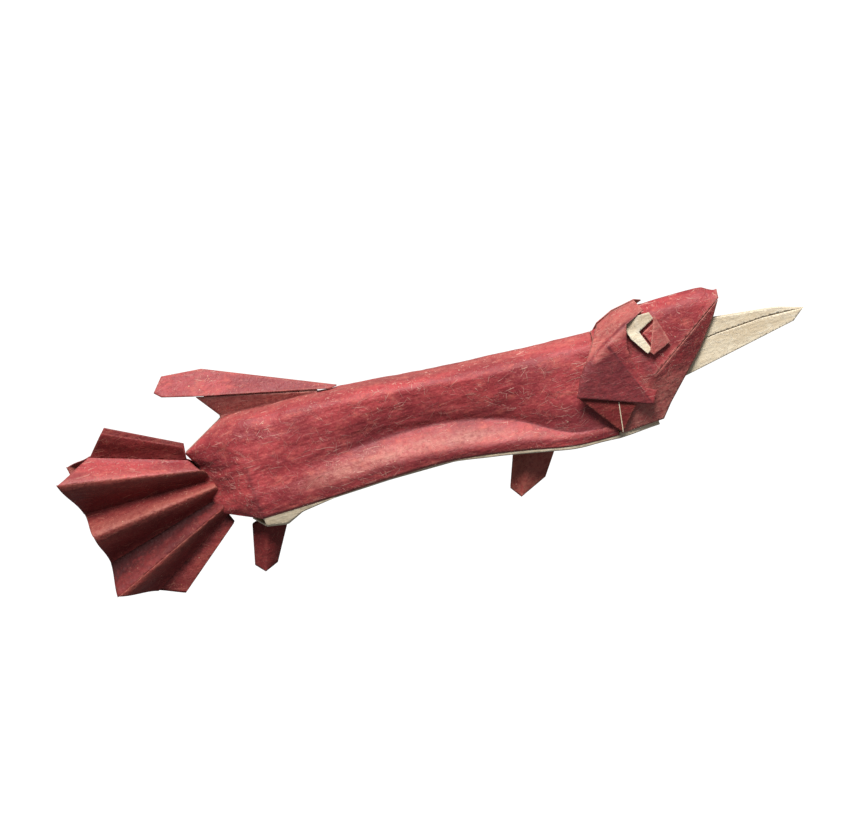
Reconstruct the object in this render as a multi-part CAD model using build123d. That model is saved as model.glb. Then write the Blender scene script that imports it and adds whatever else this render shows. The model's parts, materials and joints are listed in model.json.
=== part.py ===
from build123d import *
import math
import os

# A long-beaked, fan-tailed flying figure folded from one sheet of two-tone paper.
# +X runs to the beak, +Z is up, z = 0 is level with the tips of the feet, and the figure is
# the same on both sides of y = 0.  All sizes are in millimetres.
# Every panel between two creases is its own solid, and a crease is a narrow gap between two.
# Outlines are (x, y, z) with y the distance out from the middle plane: the right-hand
# piece is built at -y, and the left-hand piece is its mirror image.

# ---- driving dimensions -------------------------------------------------------------
SHEET = 0.4            # folded layers of handmade paper
THIN = 0.35            # a single layer
SLIT = 0.16            # gap at a crease that stays put
HANG = 0.4             # gap at a crease that moves

REAR_X = -52.0         # where the tube of the body begins, behind
BODY_LENGTH = 98.0     # from there to the neck
BODY_HALF = 10.5       # from the middle to the widest flare of the bands
FLOOR = 0.0            # the level of the feet's tips

# down the body from the rear to the neck: share of its length, height of the ridge, and for
# the four creases below it how far each lies inside the widest flare, and its height
STATIONS = (
    (0.000, 43.9, (4.0, 41.3), (1.5, 24.0), (0.7, 18.2), (2.1, 15.2)),
    (0.184, 43.2, (3.0, 41.0), (2.5, 25.8), (0.5, 18.4), (1.3, 15.6)),
    (0.367, 41.6, (2.5, 40.0), (4.7, 26.8), (0.2, 19.7), (1.0, 16.2)),
    (0.551, 39.8, (2.5, 38.1), (5.2, 26.0), (0.0, 18.9), (1.0, 16.0)),
    (0.735, 38.8, (2.7, 36.3), (4.7, 21.4), (0.3, 15.9), (1.1, 13.3)),
    (0.878, 37.8, (3.0, 35.6), (2.3, 14.2), (1.5, 12.4), (1.9, 10.3)),
    (1.000, 37.5, (3.0, 35.3), (2.1, 12.6), (1.8, 11.2), (2.4, 9.6)),
)
SHOULDER, WAIST, BILGE, HEM = 1, 2, 3, 4

LINING_DROP = 0.45     # how far the cream lining shows below the hem
LINING_INSET = 0.5     # how far inside the hem it starts
LINING_RISE = 0.9      # how far its middle lies above the hem

CHEEK_INSET = 2.3      # from the widest flare of the body to the fullest point of a cheek

# creases of the tail from the top: angle above level in degrees, length, height of the fold
FAN = (
    (27.3, 47.5, 7.0),
    (18.3, 50.4, 0.0),
    (12.8, 58.7, 9.6),
    (1.4, 54.2, 0.0),
    (-4.2, 52.4, 7.8),
    (-15.1, 53.4, 0.0),
    (-23.0, 56.0, 7.6),
    (-31.1, 48.4, 0.0),
    (-38.6, 44.0, 5.4),
)
FAN_ROOT = (27.5, 26.2, 21.6, 19.8, 19.0, 19.4, 20.4, 21.6, 22.4)   # where each crease begins
FAN_HALF = 0.8               # from the middle to the valleys of each leaf
FAN_SHEET = 0.3
FAN_SLIT = (0.26, 0.62)      # set-back of a pleat from a valley and from a ridge
STEM = 0.4                   # thickness of the end of the sheet that carries the fan

LEG_CREASE = 4.0       # a foot's crease, out from the middle
LEG_EDGE = 0.5         # its two edges, out from the middle

BEAK_CORE = 0.9
BEAK_GAP = 0.06        # between the core of the beak and the leaves folded over it

# ---- places that follow from them ---------------------------------------------------
NECK_X = REAR_X + BODY_LENGTH
CHEEK_HALF = BODY_HALF - CHEEK_INSET
FAN_APEX = (REAR_X + 7.0, 27.5)      # where the creases of the tail would meet
TUBE = [
    (REAR_X + share * BODY_LENGTH, [(0.0, ridge)] + [(BODY_HALF - inside, z) for inside, z in creases])
    for share, ridge, *creases in STATIONS
]


# ---- working with paper -------------------------------------------------------------
def add(a, b, k=1.0):
    return tuple(p + k * q for p, q in zip(a, b))


def dot(a, b):
    return sum(p * q for p, q in zip(a, b))


def cross(a, b):
    return (a[1] * b[2] - a[2] * b[1], a[2] * b[0] - a[0] * b[2], a[0] * b[1] - a[1] * b[0])


def unit(a):
    size = math.sqrt(dot(a, a))
    return tuple(p / size for p in a)


def between(a, b, t):
    return tuple(p + t * (q - p) for p, q in zip(a, b))


def normal_of(points, face):
    a, b, c = (points[i] for i in face[:3])
    return unit(cross(add(b, a, -1), add(c, a, -1)))


def paper(points, faces, thickness):
    """A bent sheet: the points are its outer face, and it is thickened inward."""
    triangles = [(f[0], f[i], f[i + 1]) for f in faces for i in range(1, len(f) - 1)]
    inner = []
    for i, p in enumerate(points):
        around = [normal_of(points, t) for t in triangles if i in t]
        mean = unit(tuple(sum(n[k] for n in around) for k in range(3)))
        reach = thickness / max(0.5, min(dot(mean, n) for n in around))
        inner.append(add(p, mean, -reach))
    edges = [(t[k], t[(k + 1) % 3]) for t in triangles for k in range(3)]
    rim = [e for e in edges if (e[1], e[0]) not in edges]
    skins = [[points[i] for i in t] for t in triangles]
    skins += [[inner[i] for i in reversed(t)] for t in triangles]
    for a, b in rim:
        skins.append([points[b], points[a], inner[a]])
        skins.append([points[b], inner[a], inner[b]])
    return Solid(Shell([Face(Wire.make_polygon([Vector(*p) for p in s])) for s in skins]))


def inset(points, gaps):
    """Move each edge of a flat outline inward by its own gap."""
    area = (0, 0, 0)
    for a, b in zip(points[1:], points[2:]):
        area = add(area, cross(add(a, points[0], -1), add(b, points[0], -1)))
    up = unit(area)
    moved = []
    for i, corner in enumerate(points):
        before = unit(add(corner, points[i - 1], -1))
        after = unit(add(points[(i + 1) % len(points)], corner, -1))
        in_before, in_after = cross(up, before), cross(up, after)
        along = (gaps[i - 1] - gaps[i] * dot(in_before, in_after)) / dot(in_before, after)
        moved.append(add(add(corner, in_after, gaps[i]), after, along))
    return moved


def facing(points, faces, axis, sign):
    """The faces with their corners in the order that turns them towards that side."""
    lean = sum(normal_of(points, f)[axis] for f in faces)
    return faces if lean * sign > 0 else [tuple(reversed(f)) for f in faces]


def patch(points, faces, thickness=SHEET):
    """A right-hand panel from its (x, distance out, z) points, facing away from the middle."""
    at = [(x, -y, z) for x, y, z in points]
    return paper(at, facing(at, faces, 1, -1), thickness)


def sheet_over(rows, up):
    """One sheet right across the figure, each row going from its right edge to its left."""
    points = [p for row in rows for p in row]
    wide = len(rows[0])
    faces = []
    for i in range(len(rows) - 1):
        for k in range(wide - 1):
            a = wide * i + k
            faces.append((a, a + 1, a + wide + 1, a + wide))
    return paper(points, facing(points, faces, 2, 1 if up else -1), SHEET)


def save(shape, name):
    export_step(shape, f"parts/{name}.step")


def pair(name, piece):
    """Write a right-hand piece and its mirror image."""
    save(piece, f"right_{name}")
    save(piece.mirror(Plane.XZ), f"left_{name}")


def rear(*points):
    """Points told from the rear end of the body."""
    return [(REAR_X + x, *rest) for x, *rest in points]


def neck(*points):
    """Points told from the neck."""
    return [(NECK_X + x, *rest) for x, *rest in points]


def on_cheek(*points):
    """Points told from the neck, and from the fullest part of the cheek."""
    return [(NECK_X + x, CHEEK_HALF + y, z) for x, y, z in points]


def tube_at(x, crease):
    """Distance out and height of one of the body's creases, anywhere along it."""
    for (xa, a), (xb, b) in zip(TUBE, TUBE[1:]):
        if x <= xb:
            break
    return between(a[crease], b[crease], (x - xa) / (xb - xa))


# ---- the hollow body ----------------------------------------------------------------
def set_back(here, there, beyond):
    """A panel's edge, drawn back along the panel so that its neighbour past the crease clears it."""
    along = unit(add(there, here, -1))
    gap = SLIT / 2
    if beyond is not None:
        fold = math.acos(max(-1.0, min(1.0, dot(along, unit(add(here, beyond, -1))))))
        gap += SHEET * math.tan(fold / 2)
    return add(here, along, gap)


def side_panel(crease):
    """A side panel of the tube, from this crease down to the next one."""
    points, faces = [], []
    for x, profile in TUBE:
        below = profile[crease + 2] if crease + 2 < len(profile) else None
        top = set_back(profile[crease], profile[crease + 1], profile[crease - 1])
        foot = set_back(profile[crease + 1], profile[crease], below)
        points += [(x, *top), (x, *foot)]
    for i in range(0, len(points) - 2, 2):
        faces.append((i, i + 1, i + 3, i + 2))
    return patch(points, faces)


def back():
    """The roof of the tube, from shoulder to shoulder over the ridge."""
    rows = []
    for x, (ridge, shoulder, waist, *_) in TUBE:
        y, z = set_back(shoulder, ridge, waist)
        rows.append([(x, -y, z), (x, *ridge), (x, y, z)])
    return sheet_over(rows, up=True)


def belly_lining():
    """The cream reverse of the sheet, folded across under the body and the jaw."""
    edges = [(x, profile[HEM][0] - SHEET - LINING_INSET, profile[HEM][1]) for x, profile in TUBE]
    edges += neck((10.8, 3.4, 9.1))
    rows = []
    for x, y, z in edges:
        low, high = z - LINING_DROP, z + LINING_RISE
        rows.append([(x, -y, low), (x, -y / 2, high), (x, y / 2, high), (x, y, low)])
    return sheet_over(rows, up=False)


TAB = rear((-3.2, 5.9, 15.3), (-0.2, 4.1, 12.7), (6.0, 3.7, 11.6), (11.0, 3.2, 12.7), (26.0, 2.5, 14.8))


def belly_tab():
    """Layers of the cream reverse that hang a little lower behind, over the rear feet."""
    rows = [(x, BODY_HALF - inside, z) for x, inside, z in TAB]
    return sheet_over([[(x, -y, z), (x, y, z)] for x, y, z in rows], up=False)


def rump():
    """Behind the body the tube is pressed flat to a narrow upright end."""
    ridge, shoulder, waist, _, hem = TUBE[0][1]
    x = REAR_X - SLIT - SHEET
    points = [(x, SHEET, ridge[1]), (x, *shoulder), (x, *waist), (x, *hem)]
    points += rear((-10.3, 1.0, 19.0), (-9.2, 0.85, 25.0), (-10.5, 0.95, 32.4), (-15.7, 1.2, 37.0), (-3.5, 0.9, 43.6))
    return patch(points, [(0, 8, 1), (8, 7, 1), (1, 7, 6), (1, 6, 2), (6, 5, 2), (2, 5, 4), (2, 4, 3)])


# ---- the head -----------------------------------------------------------------------
NECK_TOP = (NECK_X, *TUBE[-1][1][SHOULDER])
BROW = [*on_cheek((14.5, -1.4, 39.0)), *neck((32.6, 3.0, 39.0), (35.3, 2.6, 37.0))]
CROWN_RIDGE = [(NECK_X, TUBE[-1][1][0][1]), *neck((14.5, 41.1), (33.0, 41.0), (35.5, 38.7))]
FACE_FRONT = neck((35.0, 2.5, 36.2), (32.8, 2.0, 32.4), (26.7, 1.9, 24.5), (15.5, 3.2, 13.2), (12.4, 4.0, 9.6))


def crown():
    """The roof of the head, from one cheek to the other over the ridge."""
    rows = []
    for (x, ridge), (edge_x, y, z) in zip(CROWN_RIDGE, [NECK_TOP, *BROW]):
        step = SLIT if x == NECK_X else 0
        y -= 0.75 * SLIT
        rows.append([(edge_x + step, -y, z), (x + step, 0, ridge), (edge_x + step, y, z)])
    return sheet_over(rows, up=True)


def cheek():
    """The side of the head, open in front where the beak comes out."""
    x = NECK_X + SLIT
    drop = SHEET + SLIT / 2
    brow = [(px, y, z - drop) for px, y, z in BROW]
    waist, hem = TUBE[-1][1][WAIST], TUBE[-1][1][HEM]
    points = [(x, NECK_TOP[1], NECK_TOP[2] - drop), *brow, *FACE_FRONT, (x + 0.6, hem[0] - 0.2, hem[1] + 0.3)]
    points += [(x, *waist), *on_cheek((13.5, 0.0, 22.5))]
    middle = len(points) - 1
    return patch(points, [(i, (i + 1) % middle, middle) for i in range(middle)])


def eye_rim():
    """The cream reverse turned out in two arms round the eye."""
    points = on_cheek(
        (10.2, -0.3, 38.0), (14.3, -0.6, 39.3), (17.9, -1.2, 39.2), (18.6, -1.3, 37.2),
        (14.0, 0.0, 35.1), (16.0, 0.3, 29.6), (14.6, 0.7, 28.9), (11.4, 0.6, 34.0),
    )
    return patch(points, [(0, 1, 4), (1, 2, 3), (1, 3, 4), (0, 4, 7), (4, 6, 7), (4, 5, 6)], THIN)


def iris():
    """The small red triangle that shows between the arms."""
    points = on_cheek((14.8, -0.4, 34.4), (18.5, -1.1, 36.2), (18.3, -1.0, 33.0), (16.6, -0.4, 29.9))
    return patch(points, [(0, 1, 2), (0, 2, 3)], THIN)


def eyelid():
    """A small flap folded back over the eye; it lifts about its long front edge."""
    points = on_cheek((19.0, -0.9, 38.1), (21.2, -1.2, 30.0), (16.0, 0.9, 28.2), (15.4, 1.1, 29.3))
    return patch(points, [(0, 1, 2), (0, 2, 3)], THIN)


# ---- the collar that stands off behind each cheek ------------------------------------
(COLLAR_TOP, COLLAR_CORNER, COLLAR_BACK, COLLAR_KNEE, COLLAR_BROW, COLLAR_FRONT, COLLAR_TIP, COLLAR_POINT) = on_cheek(
    (-1.8, 1.6, 33.4), (-5.5, 3.4, 28.7), (-7.9, 4.1, 23.5), (3.7, 3.0, 35.1),
    (10.1, 1.0, 38.6), (15.3, -1.3, 40.4), (12.9, 0.1, 18.6), (10.8, 0.8, 15.3),
)


def collar_top():
    points = on_cheek((2.3, -3.4, 38.9), (7.0, -4.8, 41.1), (13.6, -5.6, 42.3))
    points += [COLLAR_FRONT, COLLAR_BROW, COLLAR_KNEE, COLLAR_TOP]
    return patch(points, [(0, 1, 5), (1, 2, 4), (2, 3, 4), (1, 4, 5), (0, 5, 6)])


def collar_panel():
    points = [add(COLLAR_TOP, (0, 0, -0.3)), add(COLLAR_KNEE, (0, 0, -0.55)), COLLAR_POINT]
    points += [COLLAR_BACK, COLLAR_CORNER]
    return patch(points, [(0, 1, 4), (1, 3, 4), (1, 2, 3)])


def collar_pleat():
    points = [add(COLLAR_KNEE, (0.5, 0.15, -0.25)), add(COLLAR_BROW, (-0.1, 0.1, -0.65))]
    points += on_cheek((8.5, 1.9, 32.0), (9.2, 1.6, 26.2), (10.2, 1.0, 20.4))
    points += [COLLAR_TIP, add(COLLAR_POINT, (0.4, 0.1, 0.1))]
    return patch(points, [(0, 1, 2), (0, 2, 3), (0, 3, 4), (0, 4, 6), (4, 5, 6)])


def collar_under():
    points = on_cheek((-7.4, 3.3, 23.0), (2.2, 1.7, 18.9), (6.5, 1.0, 16.6), (1.0, 1.3, 10.4))
    return patch(points, [(0, 1, 3), (1, 2, 3)])


# ---- the beak ------------------------------------------------------------------------
def flat_plate(outline, near, thickness):
    """A plate in an upright plane, from its (x, z) outline."""
    face = Face(Wire.make_polygon([Vector(x, near, z) for x, z in outline]))
    return Solid.extrude(face, Vector(0, thickness, 0))


def beak():
    """A long kite of cream paper whose two edges are folded in to meet along the middle."""
    (tip,) = neck((56.2, 27.2))
    upper = neck((20.0, 32.6), (32.0, 31.6), (46.4, 29.7))
    lower = neck((20.0, 18.3), (31.5, 20.5), (44.9, 23.1))
    seam = neck((20.0, 25.6), (32.0, 27.2), (44.9, 27.9), (53.2, 27.5))
    save(flat_plate([*upper, tip, *reversed(lower)], -BEAK_CORE / 2, BEAK_CORE), "beak_core")
    out = BEAK_CORE / 2 + BEAK_GAP
    for name, edge, side in (("upper", upper, 1), ("lower", lower, -1)):
        middle = [(x, z + side * BEAK_GAP * 2) for x, z in seam]
        pair(f"beak_{name}", flat_plate([*middle, *reversed(edge)], -out - THIN, THIN))


# ---- the fin on the back --------------------------------------------------------------
FIN_FRONT = REAR_X + 29.0      # where the fin runs out into the ridge of the back
FIN_FOOT = REAR_X - 3.6        # and where it leaves it, behind


def back_fin_roof():
    foot = tube_at(FIN_FRONT, 0)[1] + 0.8
    points = [*rear((-15.5, 0.42, 58.8), (-4.5, 0.42, 57.7)), (FIN_FRONT, 0.42, foot), (FIN_FRONT - 2.0, 1.2, foot)]
    points += rear((-8.4, 5.0, 52.2), (-16.5, 4.0, 54.2), (-18.3, 2.9, 55.6))
    return patch(points, [(2, 1, 4, 3), (1, 0, 5, 4), (0, 6, 5)])


def back_fin_wall():
    front = FIN_FRONT - 5.5
    (eave,) = rear((-7.6, 4.2, 51.4))
    points = [(front, 1.2, tube_at(front, 0)[1] + 0.4), eave, (FIN_FOOT, 0.8, TUBE[0][1][0][1] + 0.5)]
    return patch(points, [(0, 1, 2)])


# ---- the four feet --------------------------------------------------------------------
def foot(hip, front, behind, shin_front, toe, shin_behind):
    """Half of a hollow diamond leg, creased down its middle.  All but its hip are told from the hip."""
    x, z = hip
    points = [(x, LEG_CREASE, z), (x + toe, LEG_CREASE, FLOOR)]
    for dx, level, out in ((*front, 0), (*behind, 0), (*shin_front, 0.6), (*shin_behind, 0.6)):
        points.append((x + dx, LEG_EDGE + out, level))
    return patch(points, [(3, 0, 1, 5), (0, 2, 4, 1)])


def feet():
    """The front pair hangs from the lining, and the rear pair from the tab below it."""
    x = NECK_X - 23.7
    z = tube_at(x, HEM)[1] + LINING_RISE - HANG
    pair("front_foot", foot((x, z), (6.3, z - 3.2), (-5.1, z - 0.9), (1.1, 2.8), -6.5, (-8.9, 2.5)))
    x = REAR_X + 0.4
    z = between(TAB[1], TAB[2], (x - TAB[1][0]) / (TAB[2][0] - TAB[1][0]))[2] - HANG
    pair("rear_foot", foot((x, z), (5.0, z - 2.4), (-4.8, z - 0.9), (-1.3, 0.9), -4.8, (-7.5, 1.9)))


# ---- the fan tail ----------------------------------------------------------------------
def fan_point(crease, reach):
    """A point on one of the tail's creases, that far from where they would meet."""
    angle, length, fold = FAN[crease]
    flat = math.radians(angle)
    return (
        FAN_APEX[0] - reach * math.cos(flat),
        FAN_HALF + fold * reach / length,
        FAN_APEX[1] + reach * math.sin(flat),
    )


def fan_slit(crease):
    """No set-back at the tail's outer edges, little at a valley, more at a ridge."""
    if crease in (0, len(FAN) - 1):
        return 0
    return FAN_SLIT[FAN[crease][2] > 0]


def pleat(i):
    quad = [
        fan_point(i, FAN_ROOT[i]),
        fan_point(i, FAN[i][1]),
        fan_point(i + 1, FAN[i + 1][1]),
        fan_point(i + 1, FAN_ROOT[i + 1]),
    ]
    return patch(inset(quad, [fan_slit(i), 0, fan_slit(i + 1), 0]), [(0, 1, 2, 3)], FAN_SHEET)


def tail_stem():
    """The flat end of the sheet between the two leaves, which turns in the rump's end."""
    outline = rear((-5.5, 21.5), (-5.5, 31.0), (-14.5, 32.2), (-20.0, 28.4), (-20.0, 26.0), (-14.0, 19.5))
    return flat_plate(outline, -STEM / 2, STEM)


def main():
    os.makedirs("parts", exist_ok=True)
    save(back(), "back")
    save(belly_lining(), "belly_lining")
    save(belly_tab(), "belly_tab")
    save(crown(), "crown")
    save(tail_stem(), "tail_stem")
    for name, crease in (("flank", SHOULDER), ("band", WAIST), ("hem", BILGE)):
        pair(name, side_panel(crease))
    halves = (rump, cheek, eye_rim, iris, eyelid, collar_top, collar_panel, collar_pleat, collar_under)
    for build in (*halves, back_fin_roof, back_fin_wall):
        pair(build.__name__, build())
    beak()
    feet()
    for i in range(len(FAN) - 1):
        pair(f"pleat_{i + 1}", pleat(i))


main()
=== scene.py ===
# %% [markdown]
# # A long-beaked figure folded from one sheet of two-tone paper
# The real object is one square of handmade paper, red on its face and cream on its reverse.
# It has no other material, so most of what the eye reads comes from four things: where
# the creases run, how softly each one is pressed, how the sheet has crumpled between
# them, and the fibres, specks and rubbed edges of the paper itself.  Besides these, painted
# shade and painted light are laid into the paper's colour along the creases and on some panels.
# This lesson builds all of these in turn around the imported model, which is a fixed frame.

# %% Load the frame
import json
import math

import bmesh
import bpy
import numpy as np
from mathutils import Matrix, Vector, noise
from mathutils.geometry import intersect_line_line, intersect_point_line

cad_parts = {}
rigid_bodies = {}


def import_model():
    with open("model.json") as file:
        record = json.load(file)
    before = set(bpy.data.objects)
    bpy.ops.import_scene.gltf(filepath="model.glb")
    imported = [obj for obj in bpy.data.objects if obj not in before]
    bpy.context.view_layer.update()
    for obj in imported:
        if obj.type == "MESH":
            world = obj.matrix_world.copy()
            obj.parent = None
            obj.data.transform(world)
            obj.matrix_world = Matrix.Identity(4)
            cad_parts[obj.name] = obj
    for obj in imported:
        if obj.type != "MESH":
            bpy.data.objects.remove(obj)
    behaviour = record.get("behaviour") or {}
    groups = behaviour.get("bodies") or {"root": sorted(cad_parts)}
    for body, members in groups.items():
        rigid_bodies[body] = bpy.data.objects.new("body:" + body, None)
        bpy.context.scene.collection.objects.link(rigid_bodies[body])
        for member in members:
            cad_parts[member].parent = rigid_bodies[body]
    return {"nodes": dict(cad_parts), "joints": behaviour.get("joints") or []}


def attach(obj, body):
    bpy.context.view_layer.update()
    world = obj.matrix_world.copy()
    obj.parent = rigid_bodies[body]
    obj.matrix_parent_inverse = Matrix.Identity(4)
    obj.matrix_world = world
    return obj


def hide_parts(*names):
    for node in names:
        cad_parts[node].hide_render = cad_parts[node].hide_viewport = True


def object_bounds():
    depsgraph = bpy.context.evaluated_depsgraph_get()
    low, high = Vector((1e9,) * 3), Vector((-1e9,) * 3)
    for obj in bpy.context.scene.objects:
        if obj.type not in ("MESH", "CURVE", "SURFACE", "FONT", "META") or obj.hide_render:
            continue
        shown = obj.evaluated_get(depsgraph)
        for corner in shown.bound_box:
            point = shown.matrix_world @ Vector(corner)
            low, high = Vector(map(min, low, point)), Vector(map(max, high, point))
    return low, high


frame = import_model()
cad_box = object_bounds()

MM = 0.001
SIDES = {"right": -1, "left": 1}

# %% [markdown]
# ## Camera
# The figure is seen from its right side, a little from above and a little from the front,
# with its beak tipped up.  A long lens keeps the far parts nearly as large as the near
# ones, as when a small object is looked at from an arm's length away.

# %% Place the camera
LENS_MM, SENSOR_MM = 135, 36
ROUND, ABOVE, ROLL = math.radians(5), math.radians(12), math.radians(17.5)
VIEW_WIDTH = 0.2319          # metres across the view at the figure

right = Vector((math.cos(ROUND), math.sin(ROUND), 0))
forward = Vector((-math.sin(ROUND) * math.cos(ABOVE), math.cos(ROUND) * math.cos(ABOVE), -math.sin(ABOVE)))
up = right.cross(forward)
across = math.cos(ROLL) * right - math.sin(ROLL) * up
upward = math.sin(ROLL) * right + math.cos(ROLL) * up
middle = (cad_box[0] + cad_box[1]) / 2
look_at = middle + Vector((-2.1, 5.6, -2.1)) * MM
distance = VIEW_WIDTH * LENS_MM / SENSOR_MM

camera = bpy.data.objects.new("camera", bpy.data.cameras.new("camera"))
camera.data.lens, camera.data.sensor_width = LENS_MM, SENSOR_MM
camera.matrix_world = Matrix.Translation(look_at - forward * distance) @ Matrix((across, upward,
        -forward)).transposed().to_4x4()
bpy.context.scene.collection.objects.link(camera)
bpy.context.scene.camera = camera
print("camera", round(distance, 3), "m away")

# %% [markdown]
# ## Light
# One large soft light stands high in front, a little towards the head, so that panels that lean up
# are pale and panels that lean down fall into deep red.  That contrast is what draws the
# creases.  A weak even sky fills the shadows.

# %% Light the figure
KEY_FROM = Vector((0.16, -0.62, 1.0))
KEY_STRENGTH, KEY_ANGLE = 4.9, 24
FILL = 0.20

key = bpy.data.objects.new("key_light", bpy.data.lights.new("key_light", "SUN"))
key.data.energy, key.data.angle = KEY_STRENGTH, math.radians(KEY_ANGLE)
key.data.color = (1.0, 0.985, 0.96)
key.rotation_mode = "QUATERNION"
key.rotation_quaternion = KEY_FROM.to_track_quat("Z", "Y")
bpy.context.scene.collection.objects.link(key)

world = bpy.data.worlds.new("soft_sky")
world.use_nodes = True
world.node_tree.nodes["Background"].inputs["Color"].default_value = (0.96, 0.97, 1.0, 1)
world.node_tree.nodes["Background"].inputs["Strength"].default_value = FILL
bpy.context.scene.world = world
bpy.context.scene.view_settings.view_transform = "Standard"
print("key", KEY_STRENGTH, "fill", FILL)

# %% [markdown]
# ## The pale room
# The figure hangs in front of nothing but white.  A wide shallow bowl far below it, whose
# rim curves up out of sight, is floor and wall at once and has no horizon line.

# %% Make the floor
FLOOR_DROP, ROOM = 0.9, 30.0


def pale_floor():
    """A disc whose outer rings rise into a wall all round."""
    bm = bmesh.new()
    rings = [(0.02, 0), (0.3, 0), (0.6, 0), (0.75, 0.02), (0.87, 0.1), (0.96, 0.25), (1, 0.5)]
    around = 64
    rows = []
    for share, lift in rings:
        at = [2 * math.pi * k / around for k in range(around)]
        rows.append([bm.verts.new((ROOM * share * math.cos(a), ROOM * share * math.sin(a),
                ROOM * lift - FLOOR_DROP)) for a in at])
    bm.faces.new(rows[0])
    for inner, outer in zip(rows, rows[1:]):
        for k in range(around):
            bm.faces.new((inner[k], outer[k], outer[(k + 1) % around], inner[(k + 1) % around]))
    mesh = bpy.data.meshes.new("pale_floor")
    bm.to_mesh(mesh)
    bm.free()
    for polygon in mesh.polygons:
        polygon.use_smooth = True
    floor = bpy.data.objects.new("pale_floor", mesh)
    bpy.context.scene.collection.objects.link(floor)
    finish = bpy.data.materials.new("pale_floor")
    finish.use_nodes = True
    shader = finish.node_tree.nodes["Principled BSDF"]
    shader.inputs["Base Color"].default_value = (0.10, 0.10, 0.10, 1)
    shader.inputs["Roughness"].default_value = 1
    shader.inputs["Emission Color"].default_value = (1, 1, 1, 1)
    shader.inputs["Emission Strength"].default_value = 0.93
    mesh.materials.append(finish)
    floor.visible_diffuse = floor.visible_glossy = floor.visible_shadow = False
    return floor


print("floor", pale_floor().name)

# %% [markdown]
# ## Finishes: what the paper is made of
# Handmade paper is not one colour.  Long hair-like fibres lie in it in every direction and
# take less dye, so they show pale.  Flecks of bark and straw sit in it as cream and orange
# specks.  The dye itself pools and thins over a few millimetres.  Where the sheet was
# folded or rubbed, the coloured skin is worn and the pale core shows.
# A fibre is a thin line that bends a little and fades at its ends: a noise stretched long
# and thin, of which only the highest crests show, laid in six directions.
# Two values painted on each piece go with the paper wherever it turns: a pale one, which is
# wear on ridges and rims and painted light elsewhere, and a dark one, which is painted shade.
# Both follow the creases, and some panels are painted lighter or darker all over, so part of
# what reads as light and shadow is colour, and stays when the light or the pose changes.

# %% A short way to write nodes
class Recipe:
    """A material's node tree, written as nested calls."""

    def __init__(self, name):
        self.material = bpy.data.materials.new(name)
        self.material.use_nodes = True
        self.tree = self.material.node_tree
        self.shader = self.tree.nodes["Principled BSDF"]
        self.place = self.node("ShaderNodeTexCoord").outputs["Object"]

    def node(self, kind, inputs=None, **settings):
        made = self.tree.nodes.new(kind)
        for name, value in settings.items():
            setattr(made, name, value)
        for name, value in (inputs or {}).items():
            self.set(made.inputs[name], value)
        return made

    def set(self, socket, value):
        if isinstance(value, bpy.types.NodeSocket):
            self.tree.links.new(value, socket)
        elif isinstance(value, tuple) and len(value) == 3 and len(socket.default_value) == 4:
            socket.default_value = (*value, 1)
        else:
            socket.default_value = value

    def sum(self, operation, a, b=0.0, clamp=False):
        return self.node("ShaderNodeMath", {0: a, 1: b}, operation=operation, use_clamp=clamp).outputs[0]

    def mix(self, share, a, b, blend="MIX"):
        made = self.node("ShaderNodeMix", data_type="RGBA", blend_type=blend)
        for socket, value in ((made.inputs[0], share), (made.inputs[6], a), (made.inputs[7], b)):
            self.set(socket, value)
        return made.outputs[2]

    def span(self, value, low, high, out_low=0.0, out_high=1.0):
        """Value from low to high becomes out_low to out_high, smoothly, and stays inside them."""
        made = self.node("ShaderNodeMapRange", {0: value, 1: low, 2: high, 3: out_low, 4: out_high},
                interpolation_type="SMOOTHSTEP")
        return made.outputs[0]

    def moved(self, shift, scale=(1, 1, 1), turn=(0, 0, 0)):
        made = self.node("ShaderNodeMapping",
                {"Vector": self.place, "Location": shift, "Rotation": turn, "Scale": scale})
        return made.outputs[0]

    def noise(self, size, at=None, detail=2.0, rough=0.5):
        inputs = {"Vector": at or self.place, "Scale": 1 / size, "Detail": detail, "Roughness": rough}
        return self.node("ShaderNodeTexNoise", inputs).outputs["Fac"]

    def attribute(self, name):
        return self.node("ShaderNodeAttribute", attribute_name=name).outputs["Fac"]


print("recipe ready")


# %% Fibres and specks
def fibres(recipe, length, width, shift, turn, keep):
    """Pale hairs: a noise stretched long and thin and bent a little, of which only the crests show."""
    bend = recipe.node("ShaderNodeTexNoise",
            {"Vector": recipe.moved(shift), "Scale": 1 / (9 * MM), "Detail": 1.0}).outputs["Color"]
    off = recipe.node("ShaderNodeVectorMath", {0: bend, 1: (0.5, 0.5, 0.5)}, operation="SUBTRACT").outputs[0]
    off = recipe.node("ShaderNodeVectorMath", {0: off, "Scale": 4.0 * MM}, operation="SCALE").outputs[0]
    bent = recipe.node("ShaderNodeVectorMath", {0: recipe.place, 1: off}, operation="ADD").outputs[0]
    turned = recipe.node("ShaderNodeMapping", {"Vector": bent, "Rotation": (0.0, turn, 0.0)}).outputs[0]
    inputs = {"Vector": turned, "Location": shift, "Scale": (1 / length, 1 / (6 * width), 1 / width)}
    laid = recipe.node("ShaderNodeMapping", inputs).outputs[0]
    crest = recipe.node("ShaderNodeTexNoise", {"Vector": laid, "Scale": 1.0, "Detail": 0.0}).outputs["Fac"]
    return recipe.span(crest, keep, keep + 0.05)


def specks(recipe, cell, radius, shift, keep):
    """Flecks: the middles of scattered cells, most of them left out."""
    inputs = {"Vector": recipe.moved(shift), "Scale": 1 / cell, "Randomness": 1.0}
    cells = recipe.node("ShaderNodeTexVoronoi", inputs)
    dot = recipe.span(cells.outputs["Distance"], radius / cell * 0.6, radius / cell, 1.0, 0.0)
    chance = recipe.node("ShaderNodeSeparateColor", {0: cells.outputs["Color"]}).outputs[0]
    return recipe.sum("MULTIPLY", dot, recipe.sum("GREATER_THAN", chance, keep))


print("fibres and specks ready")


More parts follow.
